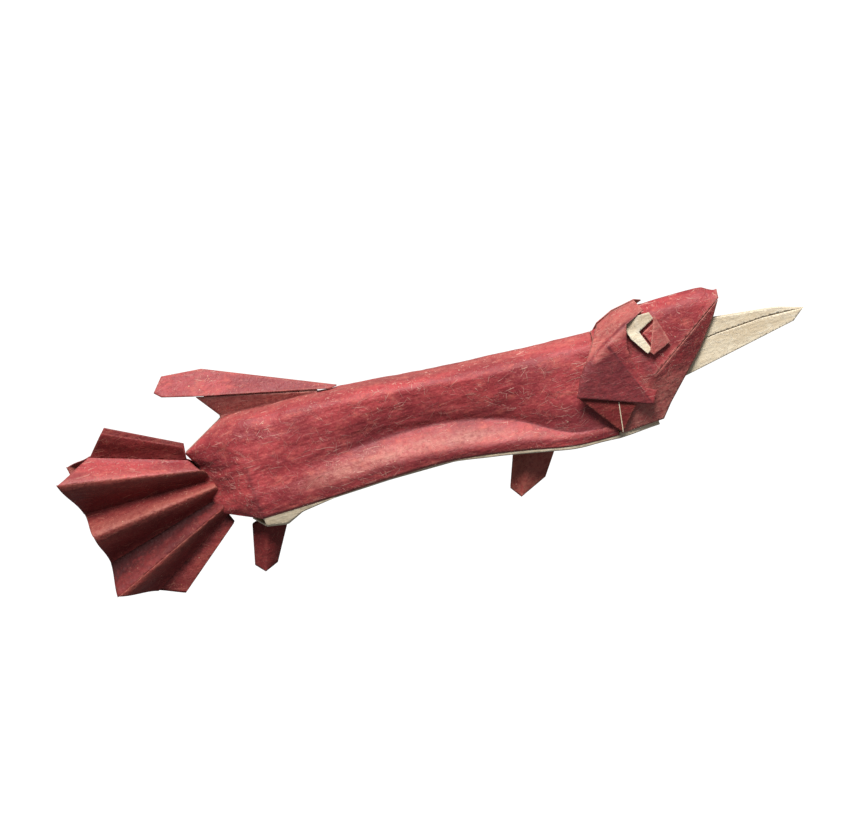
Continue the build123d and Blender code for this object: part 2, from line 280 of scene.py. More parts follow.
# %% The paper recipe
def paper_finish(name, tones, hair, fleck, worn_and_lit, painted_shade, coarse=1.0, shine=0.5):
    """tones: deep, middle and light colour; hair, fleck, the pale colour of wear and painted light, and the dark
    colour of painted shade: what lies over them.
    """
    recipe = Recipe(name)
    deep, main, light = tones
    pool = recipe.noise(7 * MM, recipe.moved((0.1, 0, 0), (0.35, 1, 1)), detail=3.5, rough=0.6)
    grain = recipe.noise(0.55 * MM, detail=3.0, rough=0.65)
    colour = recipe.mix(recipe.span(pool, 0.36, 0.66), deep, main)
    patches = recipe.noise(2.4 * MM, recipe.moved((0.7, 0.2, 0), (0.6, 1, 1)), detail=4.0, rough=0.65)
    colour = recipe.mix(recipe.span(patches, 0.50, 0.74, 0.0, 0.55), colour, light)
    mottle = recipe.noise(1.1 * MM, recipe.moved((0.3, 0.8, 0.2), (0.7, 1, 1)), detail=3.0, rough=0.7)
    colour = recipe.mix(recipe.span(mottle, 0.46, 0.66, 0.0, 0.55), colour, deep)
    colour = recipe.mix(recipe.span(grain, 0.54, 0.72, 0.0, 0.45), colour, light)

    hairs = 0.0
    layout = (
        (7.0, 0.20, (0.0, 0.0, 0.0), 0.15, 0.755),
        (5.5, 0.17, (3.1, 1.7, 2.2), 0.75, 0.765),
        (5.0, 0.16, (5.3, 0.4, 6.1), -0.60, 0.765),
        (4.0, 0.15, (1.2, 8.3, 4.4), 1.35, 0.77),
        (6.0, 0.18, (7.7, 2.9, 9.5), -0.15, 0.755),
        (3.6, 0.14, (9.1, 6.6, 1.3), -1.15, 0.77),
    )
    for length, width, shift, turn, keep in layout:
        hairs = recipe.sum("MAXIMUM", hairs, fibres(recipe, length * MM, width * MM, shift, turn, keep))
    strength = recipe.span(recipe.noise(9 * MM, recipe.moved((0.5, 0.5, 0.5)), detail=1.0), 0.35, 0.65, 0.35, 0.8)
    colour = recipe.mix(recipe.sum("MULTIPLY", hairs, strength), colour, hair)
    pale_flecks = specks(recipe, 2.6 * MM, 0.17 * MM, (0, 0, 0), 0.62)
    colour = recipe.mix(recipe.sum("MULTIPLY", pale_flecks, 0.75), colour, fleck[0])
    rust_flecks = specks(recipe, 4.1 * MM, 0.20 * MM, (0.3, 0.3, 0), 0.55)
    colour = recipe.mix(recipe.sum("MULTIPLY", rust_flecks, 0.8), colour, fleck[1])

    # Pale: wear on ridges and rims, and painted light where a piece asks for it.
    wear_and_light = recipe.attribute("rubbed_and_painted_light")
    broken = recipe.noise(1.3 * MM, recipe.moved((0.2, 0.6, 0.9)), detail=4.0, rough=0.7)
    worn_and_lit_share = recipe.sum("MULTIPLY", wear_and_light, recipe.span(broken, 0.3, 0.62, 0.25, 1.0), clamp=True)
    colour = recipe.mix(worn_and_lit_share, colour, worn_and_lit)
    # Dark: painted shade in the valleys and on panels turned from the light.
    painted_shade_share = recipe.sum("MULTIPLY", recipe.attribute("painted_shade"), recipe.span(broken, 0.25, 0.7, 0.55, 1.0),
            clamp=True)
    colour = recipe.mix(painted_shade_share, colour, painted_shade)
    recipe.set(recipe.shader.inputs["Base Color"], colour)

    rough = recipe.span(patches, 0.3, 0.75, 0.54, 0.68)
    recipe.set(recipe.shader.inputs["Roughness"], rough)
    recipe.shader.inputs["Specular IOR Level"].default_value = shine
    recipe.shader.inputs["Sheen Weight"].default_value = 0.16 * shine
    recipe.shader.inputs["Sheen Roughness"].default_value = 0.4
    recipe.shader.inputs["Sheen Tint"].default_value = (1.0, 0.84, 0.70, 1)

    weave = []
    for turn, spacing, direction in (((0, 0, 0.06), 0.32, "Z"), ((0, 0.05, 0), 0.27, "X")):
        inputs = {"Vector": recipe.moved((0, 0, 0), turn=turn), "Scale": spacing / MM, "Distortion": 0.6,
                "Detail": 1.0}
        weave.append(recipe.node("ShaderNodeTexWave", inputs, bands_direction=direction).outputs["Fac"])
    laid, chain = weave
    dents = recipe.noise(2.1 * MM, recipe.moved((0.9, 0.1, 0.4), (0.7, 1, 1)), detail=4.0, rough=0.6)
    height = recipe.sum("MULTIPLY", dents, 1.2 * coarse)
    height = recipe.sum("ADD", height, recipe.sum("MULTIPLY", grain, 0.22))
    height = recipe.sum("ADD", height, recipe.sum("MULTIPLY", recipe.sum("ADD", laid, chain), 0.035))
    height = recipe.sum("ADD", height, recipe.sum("MULTIPLY", hairs, 0.16))
    bump = recipe.node("ShaderNodeBump", {"Height": height, "Strength": 0.8, "Distance": 0.45 * MM})
    recipe.set(recipe.shader.inputs["Normal"], bump.outputs[0])
    return recipe.material


RED_TONES = ((0.240, 0.020, 0.028), (0.440, 0.052, 0.058), (0.640, 0.150, 0.115))
RED_FLECKS = ((0.78, 0.62, 0.42), (0.62, 0.26, 0.10))
CREAM_TONES = ((0.700, 0.570, 0.390), (0.860, 0.750, 0.560), (0.930, 0.860, 0.700))
CREAM_FLECKS = ((0.42, 0.30, 0.18), (0.50, 0.40, 0.27))

# After the fibres and flecks, each finish takes the pale colour of wear and painted light and the dark colour of
# painted shade.
red_paper = paper_finish("paper_red_face", RED_TONES, (0.70, 0.36, 0.30), RED_FLECKS, (0.66, 0.28, 0.22),
        (0.13, 0.018, 0.024))
cream_paper = paper_finish("paper_cream_reverse", CREAM_TONES, (0.84, 0.80, 0.70), CREAM_FLECKS,
        (0.80, 0.76, 0.66), (0.20, 0.13, 0.08), coarse=0.6)
torn_edge = paper_finish("paper_torn_edge", ((0.42, 0.20, 0.16), (0.56, 0.34, 0.27), (0.68, 0.50, 0.40)),
        (0.75, 0.55, 0.45), RED_FLECKS, (0.7, 0.5, 0.4), (0.3, 0.12, 0.1), coarse=0.6)
# A darker copy of the red paper, which is painted shade: it goes on the panels and inner sides that are turned
# from the light.
shaded_red_paper = paper_finish("paper_red_painted_shade",
        ((0.160, 0.016, 0.018), (0.280, 0.032, 0.032), (0.400, 0.080, 0.060)), (0.50, 0.18, 0.13),
                              RED_FLECKS, (0.50, 0.18, 0.13), (0.050, 0.006, 0.007), shine=0.28)
print("finishes", red_paper.name, cream_paper.name, torn_edge.name)

# %% [markdown]
# ## Sheets: from a flat panel of the frame to a piece of paper
# Each packed panel is a thin solid with an outer face, an inner face and a rim.  Its outer
# face is the fold pattern, and all that follows starts from it: cut it into triangles
# under a millimetre, round its folds a little, crumple it between them, and give it
# thickness again.  The distance from each point to the nearest fold or edge is kept, since
# paper crumples least and rubs most there, and since painted shade is laid along the valleys.

# %% Read the outer face of a panel
def outer_face(node, toward, thickest=0.85 * MM):
    """Corner points and triangles of the side of a thin solid that looks that way.
    A face of the rim has an edge as short as the sheet is thick; a face of either side has none."""
    bm = bmesh.new()
    bm.from_mesh(frame["nodes"][node].data)
    bmesh.ops.remove_doubles(bm, verts=bm.verts, dist=1e-6)
    bmesh.ops.triangulate(bm, faces=bm.faces)
    bm.normal_update()
    skin = {f for f in bm.faces if min(e.calc_length() for e in f.edges) > thickest}
    best = None
    while skin:
        group, queue = set(), [skin.pop()]
        while queue:
            face = queue.pop()
            group.add(face)
            for edge in face.edges:
                for other in edge.link_faces:
                    if other in skin:
                        skin.discard(other)
                        queue.append(other)
        facing = sum((f.normal * f.calc_area() for f in group), Vector()).dot(Vector(toward))
        if best is None or facing > best[0]:
            best = (facing, group)
    corners = sorted({v for f in best[1] for v in f.verts}, key=lambda v: v.index)
    order = {v: i for i, v in enumerate(corners)}
    triangles = [tuple(order[v] for v in f.verts) for f in sorted(best[1], key=lambda f: f.index)]
    points = [v.co.copy() for v in corners]
    bm.free()
    return points, triangles


print("a flank's outer face has", len(outer_face("right_flank", (0, -1, 0))[1]), "triangles")


# %% Join panels along a crease
def joined(sheets, reach):
    """Several outer faces as one, with corners nearer than reach brought together."""
    points, triangles, heaps = [], [], []
    for sheet_points, sheet_triangles in sheets:
        start = len(points)
        points += sheet_points
        triangles += [tuple(start + i for i in t) for t in sheet_triangles]
    place = {}
    for i, point in enumerate(points):
        near = next((h for h in heaps if (points[h[0]] - point).length < reach), None)
        if near is None:
            near = []
            heaps.append(near)
        near.append(i)
        place[i] = heaps.index(near)
    centres = [sum((points[i] for i in heap), Vector()) / len(heap) for heap in heaps]
    renumbered = [tuple(place[i] for i in t) for t in triangles]
    return centres, [t for t in renumbered if len(set(t)) == 3]


def snapped(points, lines, reach):
    """Points nearer than reach to one of the hinge lines are moved onto it."""
    moved = []
    for point in points:
        feet = [intersect_point_line(point, a, a + d)[0] for a, d in lines]
        nearest = min(feet, key=lambda f: (f - point).length, default=None)
        moved.append(nearest if nearest is not None and (nearest - point).length < reach else point)
    return moved


print("joining ready")


# %% Cut a panel fine
def fine_mesh(points, triangles, longest):
    """The same faces cut until no edge is longer than that, with the folds and edges they had."""
    bm = bmesh.new()
    verts = [bm.verts.new(p) for p in points]
    for t in triangles:
        bm.faces.new([verts[i] for i in t])
    bm.normal_update()
    folds, rims = [], []
    for edge in bm.edges:
        ends = (edge.verts[0].co.copy(), edge.verts[1].co.copy())
        if len(edge.link_faces) == 1:
            rims.append(ends)
        elif edge.calc_face_angle(0) > math.radians(10):
            folds.append((*ends, edge.is_convex))
    while True:
        long_edges = [e for e in bm.edges if e.calc_length() > longest]
        if not long_edges:
            break
        bmesh.ops.subdivide_edges(bm, edges=long_edges, cuts=1)
        bmesh.ops.triangulate(bm, faces=[f for f in bm.faces if len(f.verts) > 3], quad_method="SHORT_EDGE")
    bm.verts.index_update()
    return bm, folds, rims


def distance_to(places, segments):
    """How far each place is from the nearest of the segments."""
    nearest = np.full(len(places), 1.0)
    for a, b in segments:
        a, along = np.array(a), np.array(b) - np.array(a)
        share = np.clip((places - a) @ along / max(along @ along, 1e-18), 0, 1)
        nearest = np.minimum(nearest, np.linalg.norm(places - a - share[:, None] * along, axis=1))
    return nearest


def relaxed(places, links, free, rounds):
    """Each free point drawn half-way to the middle of its neighbours, round after round."""
    count = np.bincount(links.ravel(), minlength=len(places))[:, None]
    for _ in range(rounds):
        total = np.zeros_like(places)
        np.add.at(total, links[:, 0], places[links[:, 1]])
        np.add.at(total, links[:, 1], places[links[:, 0]])
        places = places + 0.5 * free[:, None] * (total / count - places)
    return places


print("cutting ready")


# %% Crumple it
def crumple(place, grain, seed):
    """Height of crumpled paper there, about -1 to 1: soft waves with a few sharp ridges."""
    at = Vector((place[0] / grain[0], place[1] / grain[1], place[2] / grain[2]))
    shift = Vector((seed, 1.7 * seed, 0.6 * seed))
    soft = noise.noise(at * 0.55 + shift)
    ridge = 0.55 - 2.2 * abs(noise.noise(at + shift * 2))
    small = 0.5 - 2.0 * abs(noise.noise(at * 2.3 - shift))
    return 0.75 * soft + 0.42 * ridge + 0.22 * small


def smooth_step(value, low, high):
    share = np.clip((value - low) / (high - low), 0, 1)
    return share * share * (3 - 2 * share)


def as_piece(name, places, faces, inside, thickness, rubbed_and_painted_light, painted_shade, finish, body, stands_for, edge=None):
    """Makes the sheet an object with thickness, an inner side, its pale wear and painted light, its painted shade
    and a place on its body.
    """
    mesh = bpy.data.meshes.new(name)
    mesh.from_pydata([tuple(p) for p in places], [], faces)
    for label, values in (("rubbed_and_painted_light", rubbed_and_painted_light), ("painted_shade", painted_shade)):
        mesh.attributes.new(label, "FLOAT", "POINT").data.foreach_set("value", np.asarray(values, np.float32))
    for polygon in mesh.polygons:
        polygon.use_smooth = True
    for material in (finish, inside, edge or finish):
        mesh.materials.append(material)
    piece = bpy.data.objects.new(name, mesh)
    bpy.context.scene.collection.objects.link(piece)
    shell = piece.modifiers.new("thickness", "SOLIDIFY")
    shell.thickness, shell.offset = thickness, -1
    shell.material_offset, shell.material_offset_rim = 1, 2
    shell.use_quality_normals = True
    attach(piece, body)
    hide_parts(*stands_for)
    print(f"{name}: {len(mesh.polygons)} faces on {body}")
    return piece


def paper_piece(name, sheet, body, stands_for, finish=red_paper, inside=None, thickness=0.3 * MM, longest=0.9 * MM,
                rounding=3, swell=0.12 * MM, grain=(7 * MM, 5 * MM, 4 * MM), wear=0.7, painted_shade_depth=0.5, edge_wear=0.5,
                seed=1.0,
                edge=None, bend=None, shade=None):
    """A panel, or several joined, as crumpled paper, its ridges and rims worn pale and its valleys
    darkened with painted shade.  bend moves a place; shade says how much painted light and painted shade it gets
    besides."""
    bm, folds, rims = fine_mesh(*sheet, longest)
    places = np.array([v.co for v in bm.verts])
    links = np.array([[v.index for v in e.verts] for e in bm.edges])
    faces = [[v.index for v in f.verts] for f in bm.faces]
    free = np.array([0.0 if v.is_boundary else 1.0 for v in bm.verts])
    bm.free()
    to_ridge = distance_to(places, [(a, b) for a, b, convex in folds if convex])
    to_valley = distance_to(places, [(a, b) for a, b, convex in folds if not convex])
    to_rim = distance_to(places, rims)
    places = relaxed(places, links, free, rounding)
    if bend:
        places = np.array([bend(p) for p in places])

    bent = bmesh.new()
    made = [bent.verts.new(p) for p in places]
    for f in faces:
        bent.faces.new([made[i] for i in f])
    bent.normal_update()
    normals = np.array([v.normal for v in bent.verts])
    bent.free()
    calm = smooth_step(np.minimum(np.minimum(to_ridge, to_valley), to_rim), 0.0, 3 * MM)
    lift = np.array([crumple(p, grain, seed) for p in places]) * swell * calm
    places = places + normals * lift[:, None]

    rubbed_and_painted_light = wear * np.exp(-((to_ridge / (0.45 * MM)) ** 2)) + edge_wear * np.exp(-((to_rim / (0.38 * MM)) ** 2))
    painted_shade = painted_shade_depth * np.exp(-((to_valley / (0.4 * MM)) ** 2))
    if shade:
        more = np.array([shade(p) for p in places])
        rubbed_and_painted_light, painted_shade = rubbed_and_painted_light + more[:, 0], painted_shade + more[:, 1]
    return as_piece(name, places, faces, inside or finish, thickness, rubbed_and_painted_light, painted_shade, finish, body, stands_for,
            edge)


def plain(node, finish):
    """A solid of the frame that keeps its own mesh and only takes the finish."""
    mesh = frame["nodes"][node].data
    mesh.materials.clear()
    mesh.materials.append(finish)


print("paper ready")

# %% [markdown]
# ## The body
# The body is one sheet wrapped round a hollow: a roof, two flanks that lean under, two
# bands that flare out again, and a narrow hem.  The roof rolls softly into the flank, but
# the crease where the flank meets the band is pressed sharp, and fades out towards the
# tail.  Flat panels would lose that, so the five creases are read from the frame at each
# station, run along the body as smooth curves, and the sheet is laid over them as a grid.

# %% Read the creases
def stations():
    """The creases at each station: ridge, shoulder, waist, bilge and hem as (y, z), right side."""
    edges = {}
    for node in ("right_flank", "right_band", "right_hem"):
        for p in outer_face(node, (0, -1, 0))[0]:
            edges.setdefault(round(p.x, 5), {}).setdefault(node, []).append((p.y, p.z))
    for p in outer_face("back", (0, 0, 1))[0]:
        edges[round(p.x, 5)].setdefault("back", []).append((p.y, p.z))
    table = []
    for x in sorted(edges):
        flank, band, hem = (sorted(edges[x][n], key=lambda q: -q[1]) for n in ("right_flank", "right_band",
                "right_hem"))
        roof = sorted(edges[x]["back"])
        pairs = [(roof[1], roof[1]), (roof[0], flank[0]), (flank[1], band[0]), (band[1], hem[0]), (hem[1], hem[1])]
        table.append([[(a[0] + b[0]) / 2, (a[1] + b[1]) / 2] for a, b in pairs])
    return np.array(sorted(edges)), np.array(table)


STATION_X, CREASES = stations()
print("stations", len(STATION_X), "from", STATION_X[0], "to", STATION_X[-1])


# %% Run them along the body
def along_body(x):
    """The five creases at any x, on smooth curves through the stations."""
    slopes = np.gradient(CREASES, STATION_X, axis=0)
    i = int(np.clip(np.searchsorted(STATION_X, x) - 1, 0, len(STATION_X) - 2))
    wide = STATION_X[i + 1] - STATION_X[i]
    t = (x - STATION_X[i]) / wide
    a, b, c, d = 2 * t**3 - 3 * t**2 + 1, t**3 - 2 * t**2 + t, -2 * t**3 + 3 * t**2, t**3 - t**2
    return a * CREASES[i] + b * wide * slopes[i] + c * CREASES[i + 1] + d * wide * slopes[i + 1]


PANEL_CUTS = (10, 24, 9, 4)                 # roof, flank, band and hem, across
PANEL_BULGE = (0.5 * MM, 0.75 * MM, 0.25 * MM, 0.0)
CREASE_AT = np.cumsum((0, *PANEL_CUTS))


def across_body(creases, bulge):
    """Points from the ridge down to the hem, each panel bulging outward by its share."""
    row = [creases[0]]
    for k, cuts in enumerate(PANEL_CUTS):
        a, b = creases[k], creases[k + 1]
        out = np.array([b[1] - a[1], a[0] - b[0]])
        out = out / max(np.linalg.norm(out), 1e-9)
        for j in range(1, cuts + 1):
            t = j / cuts
            row.append(a + (b - a) * t + out * PANEL_BULGE[k] * bulge * math.sin(math.pi * t))
    return np.array(row)


print("points across half the body:", len(across_body(CREASES[3], 1)))

# %% [markdown]
# Behind the last station the tube is pressed flat to a narrow upright end, where the tail
# is held.  The grid goes on over it: each point of the last profile runs straight to its
# place on the rear edge, which is read from the frame's rump.


# %% Lay the sheet
def rear_edge():
    """The rump's rear edge from top to bottom, as (x, y, z), right side."""
    points = outer_face("right_rump", (0, -1, 0))[0]
    front = max(p.x for p in points)
    return sorted(([*p] for p in points if p.x < front - 1 * MM), key=lambda p: -p[2])


RUMP_TUCKS = (3.0 * MM, 3.6 * MM, 2.6 * MM)    # its rear edge runs on in between the leaves of the fan


def body_rows():
    """The grid of the right half: rump rows first, then the tube."""
    first = across_body(along_body(STATION_X[0]), 1)
    top, hip, upper, lower, foot = (np.array(p) for p in rear_edge())
    for point, tuck in zip((upper, lower, foot), RUMP_TUCKS):
        point += np.array([-tuck, 0.25 * MM, 0])
    hem = np.array([STATION_X[0], *first[-1]])
    knots = [(0, top), (CREASE_AT[1], hip), (CREASE_AT[1] + 13, upper), (CREASE_AT[2], lower),
            (CREASE_AT[3], foot), (CREASE_AT[4], hem)]
    rear = []
    for j in range(len(first)):
        for (ja, a), (jb, b) in zip(knots, knots[1:]):
            if ja <= j <= jb:
                rear.append(a + (b - a) * (j - ja) / (jb - ja))
                break
    rows = []
    rump_rows = 15
    for i in range(rump_rows):
        t = 1 - i / rump_rows
        line = []
        for j, (y, z) in enumerate(first):
            start, end = np.array([STATION_X[0], y, z]), rear[j]
            puff = 0.7 * MM * math.sin(math.pi * t) * math.sin(math.pi * min(1, j / CREASE_AT[3]))
            line.append(start + (end - start) * t + np.array([0, -puff, 0]))
        rows.append(line)
    steps = round((STATION_X[-1] - STATION_X[0]) / (0.9 * MM))
    for i in range(steps + 1):
        x = STATION_X[0] + (STATION_X[-1] - STATION_X[0]) * i / steps
        bulge = float(smooth_step(STATION_X[-1] - x, 0, 12 * MM))
        rows.append([[x, y, z] for y, z in across_body(along_body(x), bulge)])
    return np.array(rows), rump_rows


def soften(rows, rump_rows):
    """Rolls each crease to its own softness: the shoulder wide, the waist sharp except behind."""
    sharp = smooth_step(rows[:, :, 0], STATION_X[0] + 6 * MM, STATION_X[0] + 34 * MM)
    softness = np.full(rows.shape[:2], 0.5)
    column = np.arange(rows.shape[1])
    for crease, reach, low, high in ((1, 7, 1.0, 1.0), (2, 4, 0.9, 0.06), (3, 3, 0.8, 0.35)):
        near = np.exp(-(((column - CREASE_AT[crease]) / reach) ** 2))
        softness += near * (low + (high - low) * sharp - 0.5)
    softness[:, -1] = 0
    softness[:, 0:3] *= 0.3
    softness *= np.clip(np.arange(len(rows)) / rump_rows, 0, 1)[:, None]
    for _ in range(9):
        left = np.concatenate([rows[:, 1:2] * [1, -1, 1], rows[:, :-1]], axis=1)
        right_hand = np.concatenate([rows[:, 1:], rows[:, -1:]], axis=1)
        rows = rows + 0.5 * softness[:, :, None] * ((left + right_hand) / 2 - rows)
    half = rows.shape[1] // 2
    for _ in range(5):
        middle_rows = (rows[2:] + rows[:-2]) / 2 - rows[1:-1]
        near = np.exp(-(((np.arange(1, len(rows) - 1) - rump_rows) / 3) ** 2))
        strength = np.where(column < half, 1.0, 0.25)
        rows[1:-1] += 0.5 * near[:, None, None] * strength[None, :, None] * middle_rows
    return rows


half_rows, RUMP_ROWS = body_rows()
half_rows = soften(half_rows, RUMP_ROWS)
print("grid of half the body", half_rows.shape[:2])


# %% The head
# The crown and the two cheeks are joined along the brow.
def head_sheet():
    sheets = [outer_face("crown", (0, 0, 1))]
    sheets += [outer_face(f"{side}_cheek", (0, sign, 0)) for side, sign in SIDES.items()]
    return joined(sheets, 0.75 * MM)


HEAD = head_sheet()
print("head corners", len(HEAD[0]))


# %% Crumple the body and add the head to it
def body_height(place):
    """How far the sheet stands out there: long streaks on the flank, a dense crumple behind."""
    behind = float(smooth_step(-place[0], 18 * MM, 50 * MM))
    streak = crumple(place, (13 * MM, 5 * MM, 2.6 * MM), 3.0)
    knot = crumple(place, (4.2 * MM, 5 * MM, 3.2 * MM), 5.0)
    return 0.30 * MM * streak * (1 - 0.4 * behind) + 0.44 * MM * knot * behind + 0.14 * MM * knot


def half_body(sign):
    """Places, faces, pale wear and painted light, and painted shade of one half of the body."""
    rows = half_rows * np.array([1, -sign, 1])
    along = np.gradient(rows, axis=0)
    down = np.gradient(rows, axis=1)
    normals = np.cross(along, down) * sign
    normals /= np.maximum(np.linalg.norm(normals, axis=2), 1e-12)[:, :, None]
    count, wide = rows.shape[:2]
    column = np.arange(wide)
    calm = np.minimum(1, (wide - 1 - column) / 3.0) * np.minimum(1, column / 2.0)
    calm = calm * (1 - 0.7 * np.exp(-(((column - CREASE_AT[2]) / 1.6) ** 2)))
    places, rubbed_and_painted_light, painted_shade = [], [], []
    for i in range(count):
        ends = min(1.0, i / 3, (count - 1 - i) / 6)
        for j in range(wide):
            place = rows[i, j]
            lift = body_height(place) * calm[j] * ends
            places.append(place + normals[i, j] * lift)
            # Pale: wear along the hem's edge, and painted light on the band below the waist and along the roof.
            worn_and_lit = 0.35 * math.exp(-(((wide - 1 - j) / 0.8) ** 2))
            painted_band_light = float(smooth_step(place[0], -46 * MM,
                    -28 * MM)) * (1 - 0.7 * float(smooth_step(place[0], 8 * MM, 26 * MM)))
            worn_and_lit += 0.55 * painted_band_light * math.exp(-(((j - 0.62 * CREASE_AT[3] - 0.38 * CREASE_AT[2]) / 2.4) ** 2))
            worn_and_lit += 0.25 * math.exp(-(((j - 2) / 4.0) ** 2))
            rubbed_and_painted_light.append(worn_and_lit)
            # Painted shade: dark lines along the waist and bilge creases, the flank above the waist darkened, and
            # a dark band low on each side where the rump meets the tube.
            forward_share = float(smooth_step(place[0], -34 * MM, -8 * MM))
            painted_shade_depth = 0.5 * forward_share * math.exp(-(((j - CREASE_AT[2]) / 1.0) ** 2))
            painted_shade_depth += 0.45 * float(smooth_step(place[0], -44 * MM, -26 * MM)) * float(smooth_step(j,
                    CREASE_AT[2] - 14, CREASE_AT[2])) * (j <= CREASE_AT[2])
            painted_shade_depth += 0.6 * math.exp(-(((j - CREASE_AT[3] - 0.3) / 0.8) ** 2)) * float(smooth_step(place[0],
                    -40 * MM, -12 * MM))
            if j > 0.45 * wide:
                painted_shade_depth += 0.7 * math.exp(-(((i - RUMP_ROWS) / 0.9) ** 2)) * float(smooth_step(j, 0.45 * wide,
                        0.6 * wide))
            painted_shade.append(painted_shade_depth)
    faces = []
    for i in range(count - 1):
        for j in range(wide - 1):
            a = i * wide + j
            quad = (a, a + wide, a + wide + 1, a + 1)
            faces.append(quad if sign > 0 else tuple(reversed(quad)))
    return places, faces, rubbed_and_painted_light, painted_shade


def weld_halves():
    places, faces, rubbed_and_painted_light, painted_shade = [], [], [], []
    for sign in SIDES.values():
        start = len(places)
        p, f, r, d = half_body(sign)
        places += p
        faces += [tuple(start + k for k in q) for q in f]
        rubbed_and_painted_light += r
        painted_shade += d
    return places, faces, rubbed_and_painted_light, painted_shade


BODY_NODES = ["back", *(f"{side}_{panel}" for side in SIDES for panel in ("flank", "band", "hem", "rump"))]
places, faces, rubbed_and_painted_light, painted_shade = weld_halves()
body_paper = as_piece("body_paper", places, faces, cream_paper, 0.3 * MM, rubbed_and_painted_light, painted_shade,
                      red_paper, "body", BODY_NODES, torn_edge)
weld = bmesh.new()
weld.from_mesh(body_paper.data)
bmesh.ops.remove_doubles(weld, verts=weld.verts, dist=2e-5)
weld.to_mesh(body_paper.data)
weld.free()

# The painted shadow behind the cheek, where the collar shades it, runs between these two ends.
COLLAR_SHADE = ((57.0, 35.0), (59.5, 19.0))   # x and z in mm of the ends of the fold behind the cheek


def head_shade(place):
    """A painted shadow along the fold behind the cheek, where the collar shades it; the jaw is painted lighter."""
    (x0, z0), (x1, z1) = COLLAR_SHADE
    t = min(1.0, max(0.0, (z0 - place[2] / MM) / (z0 - z1)))
    away = abs(place[0] / MM - (x0 + (x1 - x0) * t)) if z1 - 2 < place[2] / MM < z0 + 2 else 9.0
    low = float(smooth_step(-place[2], -25 * MM, -17 * MM))
    return 0.45 * low, 0.75 * math.exp(-((away / 2.6) ** 2)) * (1 - low)


paper_piece("head_paper", HEAD, "body", ["crown", "right_cheek", "left_cheek"], inside=cream_paper,
                         rounding=60, swell=0.22 * MM, grain=(6 * MM, 5 * MM, 5 * MM), wear=0.0, painted_shade_depth=0.0,
                         edge_wear=0.5, seed=2.0, shade=head_shade)

# %% [markdown]
# ## The cream reverse under the body
# The sheet is turned in along the belly, so its cream side closes the tube from below, and
# its raw edge shows as a pale line under the red hem.

# %% Lay the lining and the tab
paper_piece("belly_lining_paper", outer_face("belly_lining", (0, 0, -1)), "body", ["belly_lining"],
        finish=cream_paper,
                    rounding=5, swell=0.12 * MM, wear=0.3, painted_shade_depth=0.2, edge_wear=0.2, seed=4.0)
TAB_ENDS, TAB_RISES = -43 * MM, 1.3 * MM


def tab_sheet():
    """The tab, which shows only at the rear: further on it lies up inside the hem."""
    points, triangles = outer_face("belly_tab", (0, 0, -1))
    return [p + Vector((0, 0, TAB_RISES)) if p.x > TAB_ENDS else p for p in points], triangles


paper_piece("belly_tab_paper", tab_sheet(), "body", ["belly_tab"], finish=cream_paper,
                  rounding=4, swell=0.1 * MM, thickness=0.4 * MM, wear=0.3, painted_shade_depth=0.2, edge_wear=0.2, seed=4.5)

# %% The pale raw edge
EDGE_SHOWS, EDGE_BEHIND = 1.0 * MM, 0.8 * MM


def raw_edge(sign):
    """A ribbon inside the hem: its top is hidden behind the red paper and its foot shows below."""
    rows = half_rows[RUMP_ROWS:, -1] * np.array([1, -sign, 1])
    behind_neck = np.array([[*p] for p in sorted(outer_face("belly_lining", (0, 0, -1))[0],
            key=lambda p: p.x) if p.x > STATION_X[-1] + 2 * MM])
    if len(behind_neck):
        jaw = behind_neck[np.argmax(behind_neck[:, 1] * sign)] + np.array([0, 0, 0.5 * MM])
        steps = round((jaw[0] - rows[-1][0]) / MM)
        rows = np.concatenate([rows, [rows[-1] + (jaw - rows[-1]) * k / steps for k in range(1, steps + 1)]])
    tab = sorted(tab_sheet()[0], key=lambda p: p.x)
    tab_x, tab_z = [p.x for p in tab], [p.z for p in tab]
    points, triangles = [], []
    across = 6
    for i, (x, y, z) in enumerate(rows):
        shows = 0.25 + 0.75 * float(smooth_step(x, -2 * MM, 14 * MM))
        low = z - EDGE_SHOWS * shows * (0.8 + 0.25 * noise.noise(Vector((x / (9 * MM), sign, 0))))
        if tab_x[0] < x < tab_x[-1]:
            low = min(low, float(np.interp(x, tab_x, tab_z)) + 0.2 * MM)
        for k in range(across):
            t = k / (across - 1)
            height = z + EDGE_BEHIND + (low - z - EDGE_BEHIND) * t
            points.append(Vector((x, y - sign * (0.35 + 0.25 * max(0, z - height) / MM) * MM, height)))
        if i:
            for k in range(across - 1):
                a = i * across + k
                quad = (a - across, a, a + 1, a - across + 1)
                quad = quad if sign < 0 else tuple(reversed(quad))
                triangles += [(quad[0], quad[1], quad[2]), (quad[0], quad[2], quad[3])]
    return points, triangles


for side, sign in SIDES.items():
    paper_piece(f"{side}_raw_edge_paper", raw_edge(sign), "body", [], finish=cream_paper, longest=3 * MM,
                thickness=0.3 * MM, rounding=0, swell=0.05 * MM, edge_wear=0.2, seed=5.0 + sign)

# %% [markdown]
# ## The collar, the eye and its lid
# Behind each cheek a layer of the sheet stands off as a collar: a top facet that catches the
# light and is painted paler, a large panel darkened with painted shade, a narrow pleat beside it,
# and a triangle tucked under.  The eye is the cream reverse turned out in two arms round a small
# red triangle, with a lid folded back over its front.  All are single layers, so they are thin and
# curl a little.  The eye's upper arm carries painted shade, and the lid painted light.

# %% Fold both collars and eyes
CLOSED_OVER = 0.3             # the collars' upper edges nearly meet over the crown

EYE_BACK = 1.3 * MM           # the eye sits close behind the collar's edge


def moved_back(sheet):
    points, triangles = sheet
    return [p - Vector((EYE_BACK, 0, 0)) for p in points], triangles


